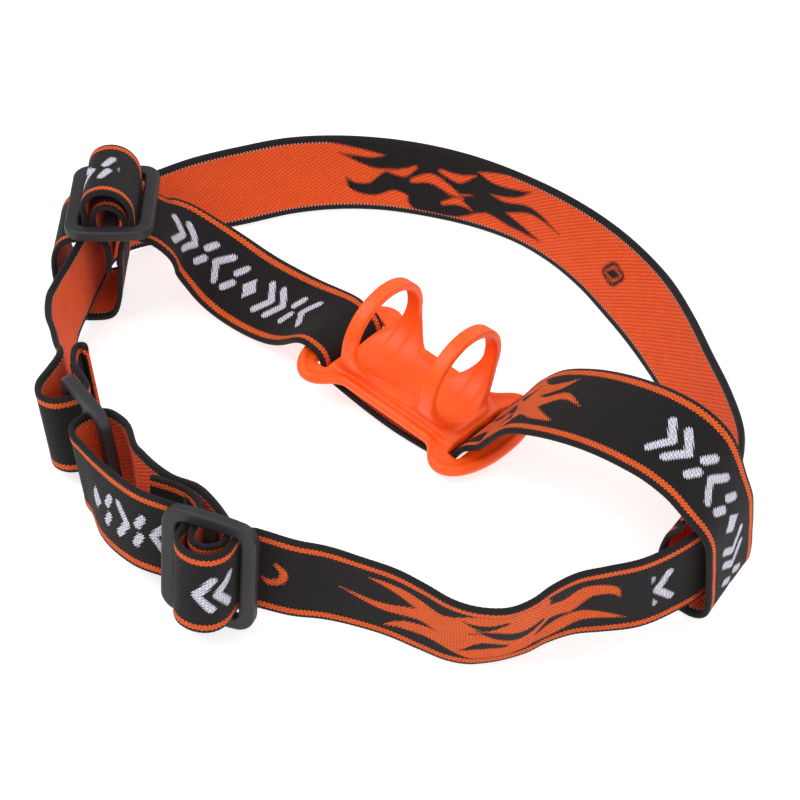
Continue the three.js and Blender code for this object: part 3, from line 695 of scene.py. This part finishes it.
def trough_wall_field(u, n, radius):
    """The wall round the torch, cut off at the rim."""
    shell = smooth_max(radius - RING_MIDDLE - RING_HALF_THICK, n - rim_height(u), RIM_EDGE)
    shell = smooth_max(shell, np.abs(u) - TROUGH_REACH, RIM_EDGE)
    return np.maximum(shell, -n + UNDERSIDE)


def holder_field(u, w, n):
    """The whole moulding; u runs along the torch, w across it and n up from the plate's underside."""
    outline = polygon_field(u[:, :, 0], w[:, :, 0], holder_outline())[:, :, None] + 0 * n
    radius = np.hypot(w, n - TORCH_HEIGHT - TORCH_RISE * u)
    body = smooth_min(plate_field(outline, n), platform_field(u, w, n), PLATFORM_BLEND)
    body = smooth_min(body, trough_wall_field(u, n, radius), TROUGH_BLEND)
    body = smooth_max(body, TROUGH_RADIUS - radius, TROUGH_EDGE)
    for centre in (-RING_OFFSET, RING_OFFSET):
        wall = np.abs(radius - RING_MIDDLE) - RING_HALF_THICK
        ring = extruded(wall, u - centre, -RING_HALF_WIDTH, RING_HALF_WIDTH, RING_EDGE)
        body = smooth_min(body, ring, RING_BLEND)
    for side in (-1, 1):
        slot = rounded_rectangle(u - side * SLOT_MIDDLE, w, SLOT_HALF_ALONG, SLOT_HALF_ACROSS, SLOT_CORNER)
        body = smooth_max(body, -slot, SLOT_EDGE)
    return smooth_max(body, -n, UNDERSIDE_EDGE)


def torch_holder():
    made = solid_from_field("silicone_torch_holder", holder_field, HOLDER_LOW, HOLDER_HIGH, HOLDER_VOXEL,
                            HOLDER)
    made.data.materials.append(silicone_material)
    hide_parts("torch_holder")
    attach(made, "torch_holder")


# ---------------------------------------------------------------- bar tacks

TACK_LENGTH = 21.0
TACK_WIDTH = 1.9
THREAD_RADIUS = 0.17
THREAD_PITCH = 0.36
THREAD_SIDES = 6
THREAD_STATIONS = 7
STITCH_SLANT = 0.25
STITCH_ARCH = 0.3  # how far the middle of a stitch stands above its ends
STITCH_SINK = 0.05  # how far the ends are pulled into the webbing


def stitch_points(centre, along, across, out, u, slant):
    """Points round one stitch, u mm from the middle of the tack."""
    points = []
    for t in np.linspace(-1, 1, THREAD_STATIONS):
        height = WEB_THICK / 2 + STITCH_ARCH * (1 - t ** 4) - STITCH_SINK
        middle = centre + along * t * TACK_WIDTH / 2 + across * (u + slant * t) + out * height
        for side in range(THREAD_SIDES):
            angle = 2 * math.pi * side / THREAD_SIDES
            offset = across * math.cos(angle) + out * math.sin(angle)
            points.append((middle + THREAD_RADIUS * offset) * MM)
    return points


def stitch_faces(base):
    faces = []
    for t in range(THREAD_STATIONS - 1):
        for side in range(THREAD_SIDES):
            a = base + t * THREAD_SIDES + side
            b = base + t * THREAD_SIDES + (side + 1) % THREAD_SIDES
            faces.append([a, b, b + THREAD_SIDES, a + THREAD_SIDES])
    faces.append([base + side for side in range(THREAD_SIDES)][::-1])
    faces.append([base + (THREAD_STATIONS - 1) * THREAD_SIDES + side for side in range(THREAD_SIDES)])
    return faces


def bar_tack(name, node, route, length, side):
    """A row of satin stitches across the webbing, side 1 on the out side of the route, -1 on the other."""
    k = route.index(length)
    out = route.out[k] * side
    vertices = []
    faces = []
    stitches = int(TACK_LENGTH / THREAD_PITCH)
    for s in range(stitches):
        u = (s - (stitches - 1) / 2) * THREAD_PITCH
        slant = STITCH_SLANT if s % 2 else -STITCH_SLANT
        faces += stitch_faces(len(vertices))
        vertices += stitch_points(route.centres[k], route.along[k], route.across[k], out, u, slant)
    made = mesh_object(name, np.array(vertices), faces)
    made.data.materials.append(thread_material)
    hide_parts(node)
    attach(made, "head_band")


# ---------------------------------------------------------------- materials

class Nodes:
    """Short calls that add shader nodes to one material."""

    def __init__(self, name):
        self.material = bpy.data.materials.new(name)
        self.material.use_nodes = True
        self.tree = self.material.node_tree
        self.shader = self.tree.nodes["Principled BSDF"]

    def put(self, socket, value):
        """Links value to the socket, or sets it where it is a plain number or colour."""
        if isinstance(value, bpy.types.NodeSocket):
            self.tree.links.new(value, socket)
        else:
            socket.default_value = value

    def math(self, operation, *values):
        node = self.tree.nodes.new("ShaderNodeMath")
        node.operation = operation
        for socket, value in zip(node.inputs, values):
            self.put(socket, value)
        return node.outputs[0]

    def add(self, a, b):
        return self.math("ADD", a, b)

    def times(self, a, b):
        return self.math("MULTIPLY", a, b)

    def less(self, a, b):
        return self.math("SUBTRACT", a, b)

    def wave(self, phase, pitch):
        """A sine of phase, in mm, from 0 to 1."""
        sine = self.math("SINE", self.times(phase, 2 * math.pi / pitch))
        return self.math("MULTIPLY_ADD", sine, 0.5, 0.5)

    def step(self, value, low, high):
        """0 before low and 1 past high, which may be the smaller of the two."""
        node = self.tree.nodes.new("ShaderNodeMapRange")
        node.interpolation_type = "SMOOTHSTEP"
        self.put(node.inputs["Value"], value)
        node.inputs["From Min"].default_value = low
        node.inputs["From Max"].default_value = high
        return node.outputs["Result"]

    def mix(self, factor, a, b, kind="RGBA"):
        node = self.tree.nodes.new("ShaderNodeMix")
        node.data_type = kind
        self.put(node.inputs["Factor"], factor)
        self.put(node.inputs["A"], a)
        self.put(node.inputs["B"], b)
        return node.outputs["Result"]

    def blend(self, factor, a, b):
        return self.mix(factor, a, b, "FLOAT")

    def scaled(self, colour, amount):
        node = self.tree.nodes.new("ShaderNodeVectorMath")
        node.operation = "SCALE"
        self.put(node.inputs[0], colour)
        self.put(node.inputs["Scale"], amount)
        return node.outputs[0]

    def field(self, name):
        node = self.tree.nodes.new("ShaderNodeAttribute")
        node.attribute_name = name
        return node.outputs["Fac"]

    def noise(self, scale, detail=2.0):
        """Noise with scale cells to the metre."""
        coordinates = self.tree.nodes.new("ShaderNodeTexCoord")
        node = self.tree.nodes.new("ShaderNodeTexNoise")
        node.inputs["Scale"].default_value = scale
        node.inputs["Detail"].default_value = detail
        self.tree.links.new(coordinates.outputs["Object"], node.inputs["Vector"])
        return node.outputs["Fac"]

    def bump(self, height, strength, distance):
        node = self.tree.nodes.new("ShaderNodeBump")
        node.inputs["Strength"].default_value = strength
        node.inputs["Distance"].default_value = distance
        self.put(node.inputs["Height"], height)
        self.tree.links.new(node.outputs["Normal"], self.shader.inputs["Normal"])

    def set(self, name, value):
        self.put(self.shader.inputs[name], value)


def srgb(red, green, blue):
    """A colour in 0-255 screen values, as linear light."""
    parts = [c / 255 for c in (red, green, blue)]
    return tuple(c / 12.92 if c < 0.04045 else ((c + 0.055) / 1.055) ** 2.4 for c in parts) + (1.0,)


BLACK_YARN = srgb(43, 38, 39)
# painted shade: the black yarn where the twill is low, in its grooves
BLACK_GROOVE_SHADE = srgb(9, 7, 8)
ORANGE_YARN = srgb(250, 116, 50)
# painted shade: the orange yarn where the knit is low, in its grooves
ORANGE_GROOVE_SHADE = srgb(176, 60, 20)
INNER_ORANGE = srgb(232, 88, 38)
# painted shade in the ribs' grooves on the inner face; the same darker orange is also the real tint where
# the light marks show through
INNER_GROOVE_SHADE_AND_MARK_TINT = srgb(158, 42, 12)
LIGHT_YARN = srgb(222, 219, 232)
# painted shade: the pale yarn of the marks where the weave is low, in its grooves
LIGHT_GROOVE_SHADE = srgb(150, 146, 160)
FLECK = srgb(206, 168, 158)
PLASTIC = (srgb(31, 29, 32), srgb(39, 37, 40))
SILICONE = (srgb(252, 86, 12), srgb(254, 95, 20))
THREAD = (srgb(20, 18, 18), srgb(48, 44, 45))

BLACK_SELVEDGE = 1.3  # black border outside the stripe, mm
STRIPE_WIDTH = 1.6
STRIPE_END = BLACK_SELVEDGE + STRIPE_WIDTH
STRIPE_GAP = (0.1, 0.3)  # the tongues fade in over these distances from the stripe
INNER_BORDER = 2.1  # black border on the inner face, mm
INNER_BORDER_EDGE = 0.1
STRIPE_EDGE = 0.06  # half widths of the change from one yarn to the next, mm
FIGURE_EDGE = 0.08
FACE_EDGE = 0.05

# Waves of the weave: (slope along, slope across, pitch in mm)
RAG = (1.0, 1.0, 0.9)
FINE_TWILL = (0.8, 1.0, 0.72)
CROSS_TWILL = (1.0, -0.75, 0.9)
KNIT_ROWS = (0.35, 1.0, 0.95)
RIB = (0.62, -1.0, 1.2)
RIB_CROSS = (1.0, 0.3, 0.8)
FLECK_LOOPS = (1.0, 0.4, 1.05)
KNIT_PITCH = 0.75
WEFT_PITCH = 1.05
WEFT_RAG = 0.34  # how ragged the weft loops make the edges of the stripes, mm
RAG_DEPTH = 0.5  # how ragged the twill makes the edges of the figures, mm
INNER_RAG = 1.6  # and how much more on the inner face
WANDER = 0.55  # how far the twill lines wander, mm
WANDER_SCALE = 900
SELVEDGE_FADE = (0.9, 2.2)  # the weave shows fully from this far inside the edge, mm
SELVEDGE_BUMP = 0.22
SELVEDGE_TONE = 0.6
FUZZ_SCALE = 2600
PATCH_SCALE = 260
WEBBING_BUMP = (0.85, 0.00028)  # strength and distance in metres


class WovenElastic(Nodes):
    """The webbing's shader, from the fields that each piece of webbing carries."""

    def __init__(self):
        super().__init__("woven_elastic")
        self.along = self.field("along")
        self.across = self.field("across")
        self.tongues = self.field("tongues")
        self.rag = self.times(self.less(self.slanted(*RAG), 0.5), RAG_DEPTH)
        self.light = self.figure(self.field("marks"), self.rag)
        from_edge = self.less(WEB_WIDTH / 2, self.math("ABSOLUTE", self.across))
        weft = self.less(self.wave(self.along, WEFT_PITCH), 0.5)
        self.edge = self.add(from_edge, self.times(weft, WEFT_RAG))
        self.body = self.step(from_edge, *SELVEDGE_FADE)
        self.wander = self.times(self.noise(WANDER_SCALE, 2), WANDER)
        self.fine_twill = self.slanted(*FINE_TWILL, self.wander)
        self.cross_twill = self.slanted(*CROSS_TWILL)
        self.black_height = self.times(self.fine_twill, self.blend(0.35, 1.0, self.cross_twill))
        # painted shade in the twill's grooves: the black darkens where the weave is low
        tone = self.blend(self.body, SELVEDGE_TONE, self.black_height)
        self.black = self.mix(tone, BLACK_GROOVE_SHADE, BLACK_YARN)

    def slanted(self, along, across, pitch, wander=0.0):
        """A wave that runs at a slant over the webbing."""
        phase = self.add(self.times(self.along, along), wander)
        return self.wave(self.add(phase, self.times(self.across, across)), pitch)

    def figure(self, field, rag):
        """1 inside a figure, with an edge that follows the weave."""
        return self.step(self.add(field, rag), -FIGURE_EDGE, FIGURE_EDGE)

    def orange_yarn(self):
        """Where the outer face is orange: the two stripes and the tongues between them."""
        past_border = self.step(self.edge, BLACK_SELVEDGE - STRIPE_EDGE, BLACK_SELVEDGE + STRIPE_EDGE)
        before_ground = self.step(self.edge, STRIPE_END + STRIPE_EDGE, STRIPE_END - STRIPE_EDGE)
        stripe = self.times(past_border, before_ground)
        ground = self.step(self.edge, STRIPE_END + STRIPE_GAP[0], STRIPE_END + STRIPE_GAP[1])
        return self.math("MAXIMUM", stripe, self.times(self.figure(self.tongues, self.rag), ground))

    def outer_face(self):
        """Colour and height of the black face with its orange stripes, tongues and light marks."""
        orange = self.orange_yarn()
        knit = self.times(self.wave(self.along, KNIT_PITCH), self.slanted(*KNIT_ROWS))
        orange_height = self.blend(0.45, knit, self.cross_twill)
        # painted shade: the orange darkens where the knit is low, in its grooves
        orange_colour = self.mix(orange_height, ORANGE_GROOVE_SHADE, ORANGE_YARN)
        light_height = self.blend(0.3, knit, self.fine_twill)
        # painted shade: the marks darken where the weave is low, in its grooves
        light_colour = self.mix(self.step(light_height, 0.0, 0.5), LIGHT_GROOVE_SHADE, LIGHT_YARN)
        colour = self.mix(self.light, self.mix(orange, self.black, orange_colour), light_colour)
        ground = self.blend(orange, self.times(self.black_height, 0.5), orange_height)
        return colour, self.blend(self.light, ground, self.add(light_height, 0.3))

    def flecks(self):
        """Light weft loops that show beside the inner border, but not in the black figures."""
        away = self.math("ABSOLUTE", self.less(self.edge, INNER_BORDER))
        line = self.times(self.step(away, 0.3, 0.1), self.step(self.tongues, 0.3, -0.3))
        return self.times(self.times(line, self.step(self.slanted(*FLECK_LOOPS), 0.35, 0.7)), 0.7)

    def inner_face(self):
        """Colour and height of the orange face, where the figures of the outer face show in black."""
        height = self.blend(0.3, self.slanted(*RIB, self.wander), self.slanted(*RIB_CROSS))
        # painted shade: the inner orange darkens where the ribs are low, in their grooves
        orange = self.mix(self.step(height, -0.35, 0.7), INNER_GROOVE_SHADE_AND_MARK_TINT, INNER_ORANGE)
        # the light marks of the outer face show through as a darker orange tint
        orange = self.mix(self.times(self.light, 0.35), orange, INNER_GROOVE_SHADE_AND_MARK_TINT)
        border = self.step(self.edge, INNER_BORDER + INNER_BORDER_EDGE, INNER_BORDER - INNER_BORDER_EDGE)
        figures = self.figure(self.tongues, self.times(self.rag, INNER_RAG))
        colour = self.mix(self.math("MAXIMUM", border, figures), orange, self.black)
        return self.mix(self.flecks(), colour, FLECK), height


def webbing_material():
    n = WovenElastic()
    outer = n.step(n.field("side"), -FACE_EDGE, FACE_EDGE)
    outer_colour, outer_height = n.outer_face()
    inner_colour, inner_height = n.inner_face()
    fuzz = n.noise(FUZZ_SCALE, 3)
    shade = n.add(n.times(fuzz, 0.35), n.add(n.times(n.noise(PATCH_SCALE, 2), 0.22), 0.71))
    n.set("Base Color", n.scaled(n.mix(outer, inner_colour, outer_colour), shade))
    weave = n.times(n.blend(outer, inner_height, outer_height), n.blend(n.body, SELVEDGE_BUMP, 1.0))
    n.bump(n.add(weave, n.times(fuzz, 0.5)), *WEBBING_BUMP)
    n.set("Roughness", n.blend(fuzz, 0.8, 0.98))
    n.set("Sheen Weight", 0.05)
    n.set("Sheen Roughness", 0.45)
    n.set("Specular IOR Level", 0.18)
    return n.material


def slider_plastic():
    n = Nodes("moulded_plastic")
    grain = n.noise(2200, 4)
    cloud = n.noise(120, 2)
    n.set("Base Color", n.mix(cloud, *PLASTIC))
    n.set("Roughness", n.blend(grain, 0.42, 0.62))
    n.set("Specular IOR Level", 0.45)
    n.bump(n.add(grain, n.times(cloud, 0.6)), 0.25, 0.00006)
    return n.material


def silicone():
    n = Nodes("soft_silicone")
    cloud = n.noise(90, 3)
    dust = n.noise(1500, 4)
    n.set("Base Color", n.mix(cloud, *SILICONE))
    n.set("Roughness", n.blend(dust, 0.36, 0.55))
    n.set("Subsurface Weight", 0.15)
    n.set("Subsurface Radius", (1.0, 0.25, 0.08))
    n.set("Subsurface Scale", 0.002)
    n.set("Specular IOR Level", 0.4)
    n.bump(n.add(n.times(dust, 0.4), cloud), 0.12, 0.00015)
    return n.material


def sewing_thread():
    n = Nodes("sewing_thread")
    twist = n.noise(4200, 2)
    n.set("Base Color", n.mix(twist, *THREAD))
    n.set("Roughness", 0.7)
    n.bump(twist, 0.4, 0.00008)
    return n.material


# ---------------------------------------------------------------- camera, floor and light

CAMERA_AZIMUTH = 48.0
CAMERA_ELEVATION = 39.0
CAMERA_DISTANCE = 600.0  # mm
CAMERA_LENS = 97.2
SENSOR_WIDTH = 36.0
CAMERA_CLIP = (0.01, 20)

FLOOR_HALF = 6.0  # metres
PAPER = ((0.5, 0.5, 0.5, 1), (0.52, 0.52, 0.52, 1))
PAPER_GLOW = 0.7
WHITE = (1, 1, 1, 1)
WORLD_STRENGTH = 0.58
LIGHTS = [  # name, place and size in metres, power in watts
    ("key", (-0.35, -0.55, 0.95), 0.7, 6.5),
    ("fill", (0.95, -0.25, 0.6), 0.9, 4.5),
    ("rim", (0.1, 0.9, 0.7), 0.8, 3),
]


def part_point(x, y, z):
    """A point of the drawing frame, mm, in the part's frame, metres."""
    return Vector(((np.array([x, y, z]) + FOOTPRINT_SHIFT) * MM).tolist())


def make_camera():
    data = bpy.data.cameras.new("camera")
    data.lens = CAMERA_LENS
    data.sensor_width = SENSOR_WIDTH
    data.clip_start, data.clip_end = CAMERA_CLIP
    camera = bpy.data.objects.new("camera", data)
    azimuth, elevation = math.radians(CAMERA_AZIMUTH), math.radians(CAMERA_ELEVATION)
    back = Vector((math.sin(azimuth) * math.cos(elevation), -math.cos(azimuth) * math.cos(elevation),
                   math.sin(elevation)))
    camera.location = part_point(0, 0, 0) + back * CAMERA_DISTANCE * MM
    camera.rotation_euler = back.to_track_quat("Z", "Y").to_euler()
    bpy.context.scene.collection.objects.link(camera)
    bpy.context.scene.camera = camera


def area_light(name, place, size, power):
    """A soft light that points at the middle of the floor."""
    data = bpy.data.lights.new(name, "AREA")
    data.size = size
    data.energy = power
    light = bpy.data.objects.new(name, data)
    light.location = place
    light.rotation_euler = Vector(place).to_track_quat("Z", "Y").to_euler()
    bpy.context.scene.collection.objects.link(light)


def make_floor():
    h = FLOOR_HALF
    corners = [(-h, -h, 0), (h, -h, 0), (h, h, 0), (-h, h, 0)]
    floor = mesh_object("studio_floor", corners, [[0, 1, 2, 3]], False)
    n = Nodes("studio_paper")
    n.set("Base Color", n.mix(n.noise(3), *PAPER))
    n.set("Emission Color", WHITE)
    n.set("Emission Strength", PAPER_GLOW)
    n.set("Roughness", 0.95)
    n.set("Specular IOR Level", 0.1)
    floor.data.materials.append(n.material)


def make_studio():
    make_floor()
    world = bpy.data.worlds.new("studio")
    world.use_nodes = True
    world.node_tree.nodes["Background"].inputs["Color"].default_value = WHITE
    world.node_tree.nodes["Background"].inputs["Strength"].default_value = WORLD_STRENGTH
    bpy.context.scene.world = world
    for light in LIGHTS:
        area_light(*light)
    bpy.context.scene.view_settings.view_transform = "Standard"


# ---------------------------------------------------------------- assembly

make_camera()
make_studio()
woven = webbing_material()
slider_material = slider_plastic()
silicone_material = silicone()
thread_material = sewing_thread()


RIGHT_CUT = 8  # the crown strap is cut this far up its right run, mm
UNDER_CUT = 18  # and this far along its stretch under the holder, where the plate hides it


def strap(name, route, first, last, pattern, printed, nodes):
    made = webbing_piece(name, route, first, last, pattern, printed)
    made.data.materials.append(woven)
    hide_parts(*nodes)
    return made


band_nodes = [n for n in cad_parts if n.startswith("band_") and not n.endswith("bar_tack")]
main_band = strap("main_head_band", band_route, 0, len(band_route.at) - 1, band_pattern, -1, band_nodes)
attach(main_band, "head_band")

left_cut = crown_route.index(crown_route.starts["left_bend"])
right_cut = crown_route.index(crown_route.starts["right_run"] + RIGHT_CUT)
under_cut = crown_route.index(crown_route.starts["under_holder"] + UNDER_CUT)
crown_end = len(crown_route.at) - 1

left_strap = strap("crown_strap_left", crown_route, 0, left_cut, crown_pattern, 1,
                   ["crown_free_end", "crown_left_loop", "crown_slider_hump", "crown_left_run"])
left_bend = strap("crown_strap_left_of_holder", crown_route, left_cut, under_cut, crown_pattern, 1,
                  ["crown_left_bend"])
right_bend = strap("crown_strap_right_of_holder", crown_route, under_cut, right_cut, crown_pattern, 1,
                   ["crown_under_holder", "crown_right_bend"])
right_strap = strap("crown_strap_right", crown_route, right_cut, crown_end, crown_pattern, 1,
                    ["crown_right_run", "crown_fixed_end", "crown_right_loop"])
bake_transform(left_strap)
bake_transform(left_bend)
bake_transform(right_bend)
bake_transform(right_strap)

slider("front_tri_glide", "front_slider", FRONT_SLIDER)
slider("joining_tri_glide", "joining_slider", JOINING_SLIDER)
slider("crown_tri_glide", "crown_slider", CROWN_SLIDER, CROWN_SLIDER_TILT)
torch_holder()

bar_tack("band_end_stitching", "band_end_bar_tack", band_route, band_route.starts["fixed_end_loop"] + 2, 1)
bar_tack("band_free_end_stitching", "band_free_end_bar_tack", band_route, band_route.length - 11, -1)
bar_tack("crown_free_end_stitching", "crown_free_end_bar_tack", crown_route,
         crown_route.starts["left_loop"] + 5, -1)
bar_tack("crown_end_stitching", "crown_end_bar_tack", crown_route, crown_route.length - 4.5, 1)
